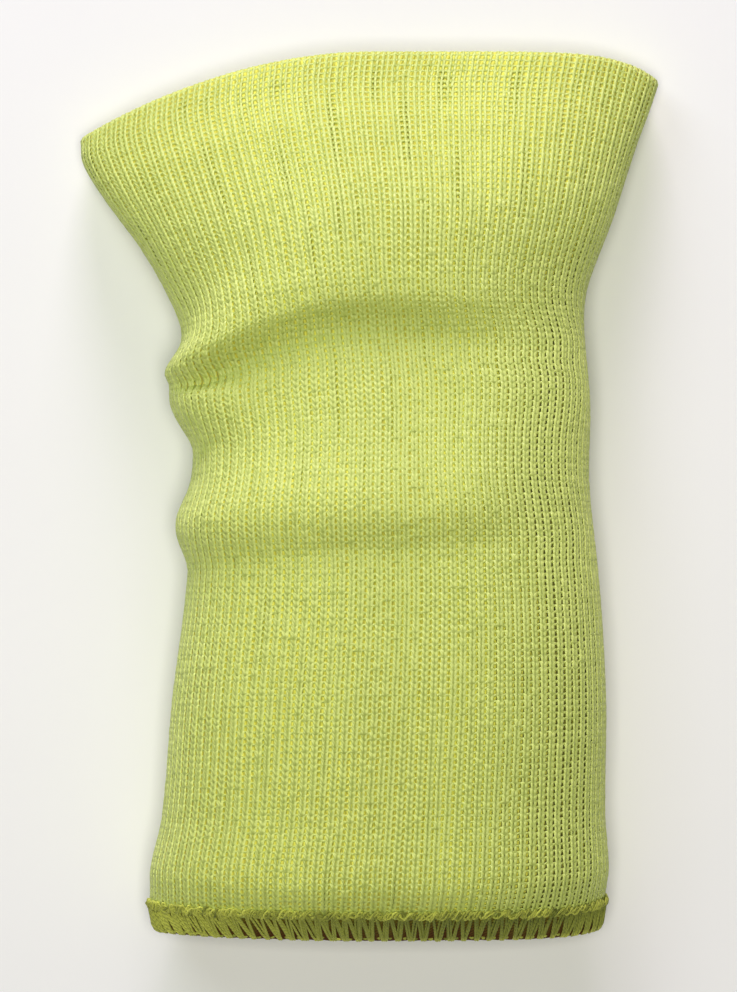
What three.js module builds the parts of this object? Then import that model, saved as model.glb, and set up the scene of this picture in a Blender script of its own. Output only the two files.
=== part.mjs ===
// Knitted cut-resistant wristband lying on its side, in millimetres, +Z up.
// The sleeve runs along Y: sewn hem at -Y, turned-over flared lip at +Y, floor at z = 0.
import * as THREE from "three";
import { ParametricGeometry } from "three/addons/geometries/ParametricGeometry.js";

// Cloth and thread
const WALL = 2.8;
const THREAD = 0.9;
const GAP = 0.3;
const HEM_WIDTH = 5.4;

// How each section lies
const FULLNESS_BASE = 1.86;
const FULLNESS_PER_FLATNESS = 0.18;
const LEFT_ARCH_POWER = 1.9;
const RIGHT_ARCH_POWER = 5;
const ROLL_TOE_POWER = 1.8;
const HEM_CLEARANCE = GAP + THREAD;
const HEM_CLEARANCE_END = -68;

// Mesh fineness
const UPPER_SEGMENTS = 28;
const CORNER_SEGMENTS = 5;
const FLAT_SEGMENTS = 8;
const LIP_SEGMENTS = 5;
const PROBE = 0.002;

// One row for each section of the sleeve, hem first: its crest's y, its two side edges and their heights
const SECTIONS = [
  { at: "hem", y: -88.2, leftX: -43.3, leftY: -87.4, rightX: 46.9, rightY: -87.1, sideZ: 9.6, topZ: 26.0 },
  { at: "seam", y: -82.9, leftX: -44.1, leftY: -82.4, rightX: 47.7, rightY: -81.7, sideZ: 11.2, topZ: 31.6 },
  { at: "swell", y: -76.0, leftX: -44.0, leftY: -75.5, rightX: 48.5, rightY: -75.1, sideZ: 12.6, topZ: 35.0 },
  { at: "tuck", y: -64.9, leftX: -41.6, leftY: -64.9, rightX: 47.7, rightY: -64.3, sideZ: 13.6, topZ: 36.4 },
  { at: "lower", y: -41.8, leftX: -39.5, leftY: -41.8, rightX: 47.8, rightY: -41.8, sideZ: 15.0, topZ: 37.7 },
  { at: "middle", y: -19.6, leftX: -36.7, leftY: -20.0, rightX: 46.5, rightY: -19.2, sideZ: 15.6, topZ: 37.2 },
  { at: "waist", y: 2.5, leftX: -35.4, leftY: 0.5, rightX: 44.4, rightY: 2.1, sideZ: 15.4, topZ: 36.0 },
  { at: "upper", y: 18.6, leftX: -35.4, leftY: 14.6, rightX: 44.6, rightY: 18.0, sideZ: 15.0, topZ: 33.8 },
  { at: "neck", y: 34.7, leftX: -36.6, leftY: 29.1, rightX: 43.4, rightY: 34.3, sideZ: 14.4, topZ: 31.2 },
  { at: "root", y: 42.8, leftX: -39.3, leftY: 37.2, rightX: 44.3, rightY: 41.8, sideZ: 13.8, topZ: 31.5 },
  { at: "flare", y: 56.9, leftX: -45.5, leftY: 48.4, rightX: 49.1, rightY: 54.5, sideZ: 12.2, topZ: 30.8 },
  { at: "spread", y: 73.0, leftX: -53.8, leftY: 59.7, rightX: 54.1, rightY: 69.5, sideZ: 9.0, topZ: 23.8 },
  { at: "shoulder", y: 81.9, leftX: -57.9, leftY: 66.5, rightX: 57.4, rightY: 78.5, sideZ: 7.2, topZ: 18.0 },
  { at: "lip", y: 88.1, leftX: -58.5, leftY: 70.9, rightX: 58.4, rightY: 83.9, sideZ: 6.2, topZ: 15.1 },
];

// One row for each soft roll across the front: where its crest runs, how high it stands, how wide it spreads
const ROLLS = [
  {
    at: "neck", crestY: 40.1, leftY: 24.3, rightY: 37.8, leftHeight: 5.2, rightHeight: 1.7, fadeFrom: 0.5,
    fadeTo: 1.0, leftLower: 5.6, rightLower: 18.0, leftUpper: 3.3, rightUpper: 20.0,
  },
  {
    at: "puff", crestY: 19.1, leftY: 19.1, rightY: 19.1, leftHeight: 4.6, rightHeight: 0.0, fadeFrom: -1.0,
    fadeTo: -0.6, leftLower: 11.0, rightLower: 11.0, leftUpper: 2.2, rightUpper: 2.2,
  },
  {
    at: "waist", crestY: -3.1, leftY: -6.3, rightY: 2.0, leftHeight: 3.1, rightHeight: 1.6, fadeFrom: 0.3,
    fadeTo: 0.8, leftLower: 9.6, rightLower: 7.6, leftUpper: 4.4, rightUpper: 10.9,
  },
];

// Rings of facets along the sleeve, closer together where it rolls and turns
const RING_STEPS = [
  { untilY: SECTIONS[0].y + HEM_WIDTH, step: HEM_WIDTH / 2 },
  { untilY: -75, step: 3.2 },
  { untilY: -13, step: 5.2 },
  { untilY: 49, step: 2.5 },
  { untilY: SECTIONS[SECTIONS.length - 1].y, step: 3.8 },
];

const HEM_Y = SECTIONS[0].y;
const LIP_Y = SECTIONS[SECTIONS.length - 1].y;

// Smooth curve through one column of the section table, by the crest's place along the sleeve
function columnAt(column, y) {
  let i = 0;
  while (i < SECTIONS.length - 2 && y > SECTIONS[i + 1].y) i += 1;
  const slopeAt = (k) => {
    const before = SECTIONS[Math.max(k - 1, 0)];
    const after = SECTIONS[Math.min(k + 1, SECTIONS.length - 1)];
    return (after[column] - before[column]) / (after.y - before.y);
  };
  const from = SECTIONS[i];
  const to = SECTIONS[i + 1];
  const span = to.y - from.y;
  const s = (y - from.y) / span;
  const ease = s * s * (3 - 2 * s);
  const leave = s * (1 - s) * (1 - s) * span * slopeAt(i);
  const arrive = s * s * (s - 1) * span * slopeAt(i + 1);
  return from[column] + (to[column] - from[column]) * ease + leave + arrive;
}

// Height of the resting side: raised at the hem by what the thread edging takes up
function restHeight(y) {
  const share = THREE.MathUtils.smoothstep(y, HEM_Y + HEM_WIDTH, HEM_CLEARANCE_END);
  return HEM_CLEARANCE * (1 - share);
}

// Every size of the section whose crest is at y
function sectionAt(y) {
  const leftX = columnAt("leftX", y);
  const rightX = columnAt("rightX", y);
  const sideZ = columnAt("sideZ", y);
  return {
    middleX: (leftX + rightX) / 2,
    halfWidth: (rightX - leftX) / 2,
    leftY: columnAt("leftY", y),
    rightY: columnAt("rightY", y),
    sideZ,
    front: columnAt("topZ", y) - sideZ,
    corner: sideZ - restHeight(y),
  };
}

// Place across the section, -1 at its left edge to 1 at its right edge, with its rise up the front from
// the side edges and its fall to the resting side, each 0 to 1
function sectionPoint(around, section) {
  const turn = ((around % 1) + 1) % 1;
  if (turn <= 0.5) {
    const angle = turn * 2 * Math.PI;
    const power = 2 / (FULLNESS_BASE + FULLNESS_PER_FLATNESS * (section.halfWidth / section.front));
    const across = -Math.sign(Math.cos(angle)) * Math.abs(Math.cos(angle)) ** power;
    return { across, rise: Math.sin(angle) ** power, fall: 0 };
  }
  const cornerShare = section.corner / section.halfWidth;
  const below = (turn - 0.5) * 2 * (2 * CORNER_SEGMENTS + FLAT_SEGMENTS);
  if (below > CORNER_SEGMENTS && below < CORNER_SEGMENTS + FLAT_SEGMENTS) {
    const share = (below - CORNER_SEGMENTS) / FLAT_SEGMENTS;
    return { across: (1 - cornerShare) * (1 - 2 * share), rise: 0, fall: 1 };
  }
  const onRight = below <= CORNER_SEGMENTS;
  const corner = onRight ? below : 2 * CORNER_SEGMENTS + FLAT_SEGMENTS - below;
  const angle = (corner / CORNER_SEGMENTS) * (Math.PI / 2);
  const out = 1 - cornerShare * (1 - Math.cos(angle));
  return { across: onRight ? out : -out, rise: 0, fall: Math.sin(angle) };
}

// Sleeve before its rolls
function plainSkin(around, y, target) {
  const section = sectionAt(y);
  const { across, rise, fall } = sectionPoint(around, section);
  const edgeY = across < 0 ? section.leftY : section.rightY;
  const arch = Math.abs(across) ** (across < 0 ? LEFT_ARCH_POWER : RIGHT_ARCH_POWER);
  return target.set(
    section.middleX + section.halfWidth * across,
    y + (edgeY - y) * arch,
    section.sideZ + section.front * rise - section.corner * fall,
  );
}

// How far the rolls stand out at one place
function rollHeight(around, y, point) {
  const { across, fall } = sectionPoint(around, sectionAt(y));
  const side = (across + 1) / 2;
  let height = 0;
  for (const roll of ROLLS) {
    const edgeY = across < 0 ? roll.leftY : roll.rightY;
    const away = point.y - roll.crestY - (edgeY - roll.crestY) * across * across;
    const upper = THREE.MathUtils.lerp(roll.leftUpper, roll.rightUpper, side);
    const lower = THREE.MathUtils.lerp(roll.leftLower, roll.rightLower, side);
    const toe = Math.max(1 - (away / lower) ** 2, 0) ** ROLL_TOE_POWER;
    const shape = away > 0 ? Math.exp(-0.5 * (away / upper) ** 2) : away > -lower ? toe : 0;
    const stand = THREE.MathUtils.lerp(roll.leftHeight, roll.rightHeight, Math.sqrt(side));
    const fade = 1 - THREE.MathUtils.smoothstep(across, roll.fadeFrom, roll.fadeTo);
    height += stand * fade * shape;
  }
  return height * (1 - THREE.MathUtils.smoothstep(fall, 0.1, 0.9));
}

// Outward direction of a surface, from two short steps on it
function outward(skin, around, y) {
  const here = skin(around, y, new THREE.Vector3());
  const aside = skin(around + PROBE, y, new THREE.Vector3()).sub(here);
  const ahead = skin(around, y + PROBE, new THREE.Vector3()).sub(here);
  return aside.cross(ahead).normalize();
}

// Sleeve with its rolls
function skin(around, y, target) {
  plainSkin(around, y, target);
  const height = rollHeight(around, y, target);
  return target.addScaledVector(outward(plainSkin, around, y), height);
}

// Place on the cloth: depth under its outer face, and distance run on past either end
function shellPoint(around, entry) {
  const point = skin(around, entry.y, new THREE.Vector3());
  const along = skin(around, entry.y + PROBE, new THREE.Vector3()).sub(point).normalize();
  const out = outward(skin, around, entry.y);
  return point.addScaledVector(out, -entry.depth).addScaledVector(along, entry.beyond);
}

// Closed band: a closed profile of {y, depth, beyond} entries carried round the sleeve
function bandGeometry(profile) {
  const segments = UPPER_SEGMENTS + 2 * CORNER_SEGMENTS + FLAT_SEGMENTS;
  const bandPoint = (u, v, target) => {
    const step = u * segments;
    const upper = step <= UPPER_SEGMENTS;
    const lowerShare = (step - UPPER_SEGMENTS) / (segments - UPPER_SEGMENTS);
    const around = upper ? (step / UPPER_SEGMENTS) * 0.5 : 0.5 + lowerShare * 0.5;
    const place = v * profile.length;
    const i = Math.floor(place);
    const from = shellPoint(around, profile[i % profile.length]);
    const to = shellPoint(around, profile[(i + 1) % profile.length]);
    target.lerpVectors(from, to, place - i);
  };
  return new ParametricGeometry(bandPoint, segments, profile.length);
}

// Places of the rings of facets, hem to lip
function ringPlaces() {
  const places = [HEM_Y];
  for (const { untilY, step } of RING_STEPS) {
    const from = places[places.length - 1];
    const count = Math.round((untilY - from) / step);
    for (let i = 1; i <= count; i += 1) places.push(from + ((untilY - from) * i) / count);
  }
  return places;
}

// Wall of the sleeve: up the outside, over the round lip, down the inside
function sleeveProfile() {
  const outside = ringPlaces().map((y) => ({ y, depth: 0, beyond: 0 }));
  const inside = outside.map(({ y }) => ({ y, depth: WALL, beyond: 0 })).reverse();
  const lip = [];
  for (let i = 1; i < LIP_SEGMENTS; i += 1) {
    const angle = (i / LIP_SEGMENTS) * Math.PI;
    const depth = (WALL / 2) * (1 - Math.cos(angle));
    lip.push({ y: LIP_Y, depth, beyond: (WALL / 2) * Math.sin(angle) });
  }
  return [...outside, ...lip, ...inside];
}

// Thread edging: a channel round the cut hem, with a rounded outer edge
function edgingProfile() {
  const reach = GAP + THREAD;
  const places = [HEM_Y + HEM_WIDTH / 2, HEM_Y + HEM_WIDTH];
  const leg = (depth) => places.map((y) => ({ y, depth, beyond: 0 }));
  return [
    { y: HEM_Y, depth: -GAP, beyond: -GAP },
    { y: HEM_Y, depth: WALL + GAP, beyond: -GAP },
    ...leg(WALL + GAP),
    ...leg(WALL + reach).reverse(),
    { y: HEM_Y, depth: WALL + reach, beyond: 0 },
    { y: HEM_Y, depth: WALL - GAP, beyond: -reach },
    { y: HEM_Y, depth: GAP, beyond: -reach },
    { y: HEM_Y, depth: -reach, beyond: 0 },
    ...leg(-reach),
    ...leg(-GAP).reverse(),
  ];
}

function namedMesh(name, geometry, slot, colour) {
  const material = new THREE.MeshStandardMaterial({ color: colour, roughness: 0.9, metalness: 0 });
  material.name = slot;
  const mesh = new THREE.Mesh(geometry, material);
  mesh.name = name;
  return mesh;
}

const wristband = new THREE.Group();
wristband.name = "wristband";
wristband.add(namedMesh("knit_sleeve", bandGeometry(sleeveProfile()), "aramid_knit", 0xcfd672));
wristband.add(namedMesh("overlock_edge", bandGeometry(edgingProfile()), "overlock_thread", 0xa3a83a));

export default wristband;
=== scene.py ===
"""Cut-resistant wristband on a pale floor: yarn-by-yarn jersey knit with an overlocked hem.

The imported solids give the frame. Every shape is worked out in millimetres on the solids' sleeve form and
written to Blender in metres. The form keeps within about two millimetres of the solids: it is fuller near the
hem and at the upper roll. The sleeve lies on its side along Y, hem at -Y, flared lip at +Y.
"""

import logging
import math
from collections.abc import Sequence
from dataclasses import astuple, dataclass
from enum import Enum

import bpy
import numpy as np
from numpy.typing import NDArray
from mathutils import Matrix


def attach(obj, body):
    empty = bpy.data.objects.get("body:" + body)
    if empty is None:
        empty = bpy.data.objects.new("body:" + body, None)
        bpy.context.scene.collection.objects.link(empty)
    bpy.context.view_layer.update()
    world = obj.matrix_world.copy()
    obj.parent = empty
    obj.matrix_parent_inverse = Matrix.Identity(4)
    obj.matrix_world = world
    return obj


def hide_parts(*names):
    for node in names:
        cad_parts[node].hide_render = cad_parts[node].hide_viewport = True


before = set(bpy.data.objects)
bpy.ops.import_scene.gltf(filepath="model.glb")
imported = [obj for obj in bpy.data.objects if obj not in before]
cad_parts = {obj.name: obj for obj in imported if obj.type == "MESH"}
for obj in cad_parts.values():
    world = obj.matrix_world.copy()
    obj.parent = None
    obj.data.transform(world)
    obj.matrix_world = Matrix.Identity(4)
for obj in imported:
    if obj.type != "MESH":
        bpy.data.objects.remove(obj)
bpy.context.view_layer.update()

LOG = logging.getLogger("wristband")
MM = 0.001
BODY = "root"
SLEEVE_NODE = "knit_sleeve"
EDGING_NODE = "overlock_edge"
UV_NAME = "yarn"
SEED = 20
TAU = 2.0 * math.pi
KNIT_WALES = 112
# The inner ply cut open along one wale and laid flat: round the wrist by hem to lip.
# Least cosine of half a turn that a yarn's section is made wider for.
MITRE_LIMIT = 0.72

Floats = NDArray[np.float64]
Whole = NDArray[np.int64]
Pair = tuple[float, float]
Piece = bpy.types.Object
Recipe = Sequence[tuple[str, str, str | int, dict[str, str], dict[str | int, object]]]


class Slot(Enum):
    """Material slots of the record."""

    KNIT = "aramid_knit"
    THREAD = "overlock_thread"


# Shared arithmetic


def smooth_step(value: Floats, low: float, high: float) -> Floats:
    """Ease from 0 at low to 1 at high along 3t^2 - 2t^3.

    Args:
        value: Places to ease.
        low: Place where the ease begins.
        high: Place where the ease ends.

    Returns:
        The eased share at each place.
    """
    share = np.clip((value - low) / (high - low), 0.0, 1.0)
    return share * share * (3.0 - 2.0 * share)


def bell(value: Floats, middle: float, spread: float) -> Floats:
    """Fall from 1 at the middle to both sides as exp(-((value - middle) / spread)^2)."""
    return np.exp(-(((value - middle) / spread) ** 2))


def wave_sum(turn: Floats, along: Floats, waves: Sequence[tuple[int, float, float]]) -> Floats:
    """Add up sine waves that run round and along the sleeve.

    Args:
        turn: Share of the way round.
        along: Millimetres along the cloth.
        waves: Each wave's count round the sleeve, length along it in millimetres, and start.

    Returns:
        The sum at each place.
    """
    return sum(np.sin(TAU * (count * turn + along / length) + start) for count, length, start in waves)


def unit(vectors: Floats) -> Floats:
    """Scale each vector on the last axis to length one."""
    return vectors / np.maximum(np.linalg.norm(vectors, axis=-1, keepdims=True), 1e-12)


def linear_colour(code: str) -> tuple[float, float, float, float]:
    """Turn an sRGB hex colour into linear light with full alpha.

    Args:
        code: Colour such as "#D8DE78".

    Returns:
        Linear red, green, blue and alpha.
    """
    parts = [int(code[i : i + 2], 16) / 255.0 for i in (1, 3, 5)]
    red, green, blue = (p / 12.92 if p <= 0.04045 else ((p + 0.055) / 1.055) ** 2.4 for p in parts)
    return red, green, blue, 1.0


# The sleeve's form


@dataclass(frozen=True)
class Section:
    """One cross-section of the sleeve, in millimetres: its crest's y and height, and its side edges."""

    at: str
    y: float
    left_x: float
    left_y: float
    right_x: float
    right_y: float
    side_z: float
    top_z: float


@dataclass(frozen=True)
class Roll:
    """One soft roll across the front, in millimetres: where its crest runs, its height and its spread."""

    at: str
    crest_y: float
    left_y: float
    right_y: float
    left_height: float
    right_height: float
    fade_from: float
    fade_to: float
    left_lower: float
    right_lower: float
    left_upper: float
    right_upper: float


SECTIONS = (
    Section("hem", -88.2, -43.3, -87.4, 46.9, -87.1, 9.6, 26.8),
    Section("seam", -82.9, -44.1, -82.4, 47.7, -81.7, 11.2, 33.0),
    Section("brow", -79.5, -44.1, -79.0, 48.2, -78.4, 12.0, 35.4),
    Section("swell", -76.0, -44.0, -75.5, 48.5, -75.1, 12.6, 36.2),
    Section("tuck", -64.9, -41.6, -64.9, 47.7, -64.3, 13.6, 36.6),
    Section("lower", -41.8, -39.5, -41.8, 47.8, -41.8, 15.0, 37.7),
    Section("middle", -19.6, -36.7, -20.0, 46.5, -19.2, 15.6, 37.2),
    Section("waist", 2.5, -35.4, 0.5, 44.4, 2.1, 15.4, 36.0),
    Section("upper", 18.6, -35.4, 14.6, 44.6, 18.0, 15.0, 33.8),
    Section("neck", 34.7, -36.6, 29.1, 43.4, 34.3, 14.4, 31.2),
    Section("root", 42.8, -39.3, 37.2, 44.3, 41.8, 13.8, 31.5),
    Section("flare", 56.9, -45.5, 48.4, 49.1, 54.5, 12.2, 30.8),
    Section("spread", 73.0, -53.8, 59.7, 54.1, 69.5, 9.0, 23.8),
    Section("shoulder", 81.9, -57.9, 66.5, 57.0, 77.2, 7.2, 18.0),
    Section("lip", 88.1, -58.5, 70.9, 58.8, 82.4, 6.2, 15.1),
)

ROLLS = (
    Roll("neck", 40.1, 24.3, 37.8, 5.0, 3.2, 0.2, 1.0, 5.0, 12.0, 3.3, 25.0),
    Roll("puff", 19.2, 19.2, 19.2, 4.5, 0.0, -1.0, -0.6, 11.1, 11.1, 1.7, 1.7),
    Roll("waist", -3.1, -6.3, 2.0, 3.1, 1.6, 0.3, 0.8, 9.6, 7.6, 4.4, 10.9),
)


@dataclass(frozen=True)
class SleeveForm:
    """Outer face of the lying sleeve in millimetres: the solid's form, within about 2 mm of it."""

    sections: tuple[Section, ...] = SECTIONS
    rolls: tuple[Roll, ...] = ROLLS
    wall: float = 2.8
    hem_width: float = 5.4
    hem_clearance: float = 1.2
    hem_clearance_end: float = -68.0
    fullness_base: float = 1.86
    fullness_per_flatness: float = 0.18
    roll_toe_power: float = 1.8
    roll_fall: Pair = (0.1, 0.9)
    left_arch_power: float = 1.9
    right_arch_power: float = 7.5
    lower_corner_share: float = 5 / 18

    def column(self, name: str, y: Floats) -> Floats:
        """Read one column of the section table by a smooth curve through its rows.

        Cubic Hermite curve between rows, with each row's slope taken across its two neighbours.

        Args:
            name: Column of the table.
            y: Crest places along the sleeve.

        Returns:
            The column's value at each place.
        """
        knots = np.array([row.y for row in self.sections])
        values = np.array([getattr(row, name) for row in self.sections])
        slopes = np.empty_like(values)
        slopes[1:-1] = (values[2:] - values[:-2]) / (knots[2:] - knots[:-2])
        slopes[[0, -1]] = (values[[1, -1]] - values[[0, -2]]) / (knots[[1, -1]] - knots[[0, -2]])
        i = np.clip(np.searchsorted(knots, y) - 1, 0, len(knots) - 2)
        span = knots[i + 1] - knots[i]
        s = (y - knots[i]) / span
        ease = s * s * (3.0 - 2.0 * s)
        leave = s * (1.0 - s) ** 2 * span * slopes[i]
        arrive = s * s * (s - 1.0) * span * slopes[i + 1]
        return values[i] + (values[i + 1] - values[i]) * ease + leave + arrive

    def plain(self, around: Floats, y: Floats) -> tuple[Floats, Floats, Floats]:
        """Place points on the sleeve before its rolls.

        The front is a superellipse from the left edge over the crest to the right edge, the squarer the
        flatter it lies; the resting side is a flat with a quarter circle up to each edge. Each section
        arches back towards its edges by a power of the place across.

        Args:
            around: Share of the way round from the left edge over the crest, 0 to 1.
            y: Crest place of the section of each point.

        Returns:
            Points, place across from -1 to 1, and fall to the resting side from 0 to 1.
        """
        left, right = self.column("left_x", y), self.column("right_x", y)
        side_z, top_z = self.column("side_z", y), self.column("top_z", y)
        half = (right - left) / 2.0
        seam_y = self.sections[0].y + self.hem_width
        rest = self.hem_clearance * (1.0 - smooth_step(y, seam_y, self.hem_clearance_end))
        corner = side_z - rest
        turn = around % 1.0
        upper = turn <= 0.5
        power = 2.0 / (self.fullness_base + self.fullness_per_flatness * half / (top_z - side_z))
        cosine, sine = np.cos(turn * TAU), np.sin(turn * TAU)
        front_across = -np.sign(cosine) * np.abs(cosine) ** power
        rise = np.where(upper, np.abs(sine) ** power, 0.0)
        below = (turn - 0.5) * 2.0
        edge = self.lower_corner_share
        flat = (below > edge) & (below < 1.0 - edge)
        angle = np.minimum(below, 1.0 - below) / edge * (np.pi / 2.0)
        share = corner / half
        out = np.where(below < 0.5, 1.0, -1.0) * (1.0 - share * (1.0 - np.cos(angle)))
        along_flat = (1.0 - share) * (1.0 - 2.0 * (below - edge) / (1.0 - 2.0 * edge))
        across = np.where(upper, front_across, np.where(flat, along_flat, out))
        fall = np.where(upper, 0.0, np.where(flat, 1.0, np.sin(angle)))
        edge_y = np.where(across < 0.0, self.column("left_y", y), self.column("right_y", y))
        arch = np.abs(across) ** np.where(across < 0.0, self.left_arch_power, self.right_arch_power)
        points = np.stack(
            [
                (left + right) / 2.0 + half * across,
                y + (edge_y - y) * arch,
                side_z + (top_z - side_z) * rise - corner * fall,
            ],
            axis=-1,
        )
        return points, across, fall

    def roll_height(self, across: Floats, fall: Floats, y: Floats) -> Floats:
        """Work out how far the rolls stand out, fading to the right.

        Towards the lip each roll falls as a bell curve; towards the hem it falls as a power of
        1 - (distance / spread)^2 and ends in a crease.

        Args:
            across: Place across the section, -1 to 1.
            fall: Fall to the resting side, 0 to 1.
            y: The points' own y.

        Returns:
            Height of the rolls at each point.
        """
        side = (across + 1.0) / 2.0
        height = np.zeros_like(across)
        for roll in self.rolls:
            edge_y = np.where(across < 0.0, roll.left_y, roll.right_y)
            away = y - roll.crest_y - (edge_y - roll.crest_y) * across**2
            upper = roll.left_upper + (roll.right_upper - roll.left_upper) * side
            lower = roll.left_lower + (roll.right_lower - roll.left_lower) * side
            bell = np.exp(-0.5 * (away / upper) ** 2)
            toe = np.maximum(1.0 - (away / lower) ** 2, 0.0) ** self.roll_toe_power
            gain = roll.right_height - roll.left_height
            stand = roll.left_height + gain * np.sqrt(np.clip(side, 0.0, 1.0))
            fade = 1.0 - smooth_step(across, roll.fade_from, roll.fade_to)
            height += stand * fade * np.where(away > 0.0, bell, toe)
        return height * (1.0 - smooth_step(fall, *self.roll_fall))

    def grid(self, around: Floats, y: Floats) -> tuple[Floats, Floats]:
        """Place a grid of points on the rolled sleeve.

        Args:
            around: Shares of the way round, one for each column.
            y: Crest places, one for each row.

        Returns:
            Points and outward unit normals, rows by columns by three.
        """
        turns, places = np.meshgrid(around, y)
        points, across, fall = self.plain(turns, places)
        points = points + grid_normals(points) * self.roll_height(across, fall, points[..., 1])[..., None]
        return points, grid_normals(points)


def grid_normals(points: Floats) -> Floats:
    """Cross the column direction with the row direction at every point of a grid.

    Args:
        points: Grid of points, rows along the sleeve and columns round it.

    Returns:
        Unit normals of the grid.
    """
    return unit(np.cross(np.gradient(points, axis=1), np.gradient(points, axis=0)))


@dataclass
class ClothMap:
    """The cloth's face unrolled: turns from the crest by equal lengths, millimetres along the crest line.

    Rows run from a little before the cut hem, up the outside, over the round lip and down the inside.
    """

    form: SleeveForm
    step: float = 0.3
    columns: int = 1344
    before_hem: float = 2.4
    inside: float = 14.0
    samples_round: int = 2000
    samples_along: int = 3000
    crest: tuple[float, ...] = (0.249, 0.25, 0.251)
    row_margin: float = 0.001

    def __post_init__(self) -> None:
        """Sample the outside, the lip and the inside into one grid of points and normals."""
        fine_y = np.linspace(self.form.sections[0].y, self.form.sections[-1].y, self.samples_along)
        crest, _ = self.form.grid(np.array(self.crest), fine_y)
        lengths = np.concatenate([[0.0], np.cumsum(np.linalg.norm(np.diff(crest[:, 1], axis=0), axis=-1))])
        self.outside = float(lengths[-1])
        rows = np.arange(-self.before_hem, self.outside, self.step)
        rows[-1] = self.outside
        y = np.interp(rows, lengths, fine_y)
        y = np.where(rows < 0.0, fine_y[0] + rows * (fine_y[1] - fine_y[0]) / lengths[1], y)
        around = self.crest[1] + np.linspace(0.0, 1.0, self.samples_round + 1)
        points, normals = self._even_columns(*self.form.grid(around, y))
        self.lip_length = math.pi * self.form.wall / 2.0
        lip, lip_normals = self._lip(points, normals)
        deep = int(self.inside / self.step)
        inner = (points - normals * self.form.wall)[-2 : -2 - deep : -1]
        self.points = np.concatenate([points, lip, inner])
        self.normals = np.concatenate([normals, lip_normals, -normals[-2 : -2 - deep : -1]])
        turned = self.outside + np.linspace(0.0, self.lip_length, len(lip) + 2)[1:-1]
        down = self.outside + self.lip_length + np.arange(1, deep + 1) * self.step
        self.along = np.concatenate([rows, turned, down])
        self.girth = np.linalg.norm(np.roll(self.points, -1, axis=1) - self.points, axis=-1).sum(axis=1)

    def _even_columns(self, points: Floats, normals: Floats) -> tuple[Floats, Floats]:
        """Resample each row to columns spaced by equal lengths round the sleeve.

        Args:
            points: Closed rows of points, the last column over the first.
            normals: Normals of the same grid.

        Returns:
            Points and normals on evenly spaced columns.
        """
        steps = np.linalg.norm(np.diff(points, axis=1), axis=-1)
        reach = np.cumsum(steps, axis=1)
        reach = np.concatenate([np.zeros((len(points), 1)), reach], axis=1) / reach[:, -1:]
        row = np.arange(len(points))[:, None]
        wanted = row + np.arange(self.columns) / self.columns
        flat = np.interp(wanted.ravel(), (row + reach).ravel(), np.arange(reach.size))
        low = np.floor(flat).astype(np.int64)
        share = (flat - low)[:, None]
        shape = (len(points), self.columns, 3)
        grids = [grid.reshape(-1, 3) for grid in (points, normals)]
        blend = [grid[low] * (1.0 - share) + grid[low + 1] * share for grid in grids]
        return blend[0].reshape(shape), unit(blend[1].reshape(shape))

    def _lip(self, points: Floats, normals: Floats) -> tuple[Floats, Floats]:
        """Carry the cloth over the lip: half a circle of the wall's thickness past the last row.

        Args:
            points: Rows of the outside.
            normals: Their normals.

        Returns:
            Points and normals of the lip's rows.
        """
        count = max(int(self.lip_length / self.step), 3)
        angle = np.linspace(0.0, math.pi, count + 2)[1:-1, None, None]
        ahead = unit(points[-1] - points[-3])
        radius = self.form.wall / 2.0
        lip = points[-1] - normals[-1] * radius * (1.0 - np.cos(angle)) + ahead * radius * np.sin(angle)
        return lip, unit(normals[-1] * np.cos(angle) + ahead * np.sin(angle))

    def place(self, turn: Floats, along: Floats, depth: Floats) -> tuple[Floats, Floats]:
        """Place points on the cloth by blending the four nearest grid points.

        Args:
            turn: Share of the way round from the crest to the right.
            along: Millimetres along the crest line from the cut hem.
            depth: Millimetres under the outer face, negative above it.

        Returns:
            Points in millimetres and outward unit normals.
        """
        turn, along, depth = np.broadcast_arrays(turn, along, depth)
        row = np.interp(along, self.along, np.arange(len(self.along)))
        r = np.clip(row, 0.0, len(self.along) - 1 - self.row_margin)
        c = (turn % 1.0) * self.columns
        r0, c0 = np.floor(r).astype(np.int64), np.floor(c).astype(np.int64) % self.columns
        fr, fc = (r - r0)[..., None], (c - np.floor(c))[..., None]
        c1 = (c0 + 1) % self.columns

        def blended(grid: Floats) -> Floats:
            """Blend one grid's four corners."""
            low, high = (grid[line, c0] * (1.0 - fc) + grid[line, c1] * fc for line in (r0, r0 + 1))
            return low * (1.0 - fr) + high * fr

        normals = unit(blended(self.normals))
        return blended(self.points) - normals * depth[..., None], normals


# Meshes


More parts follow.
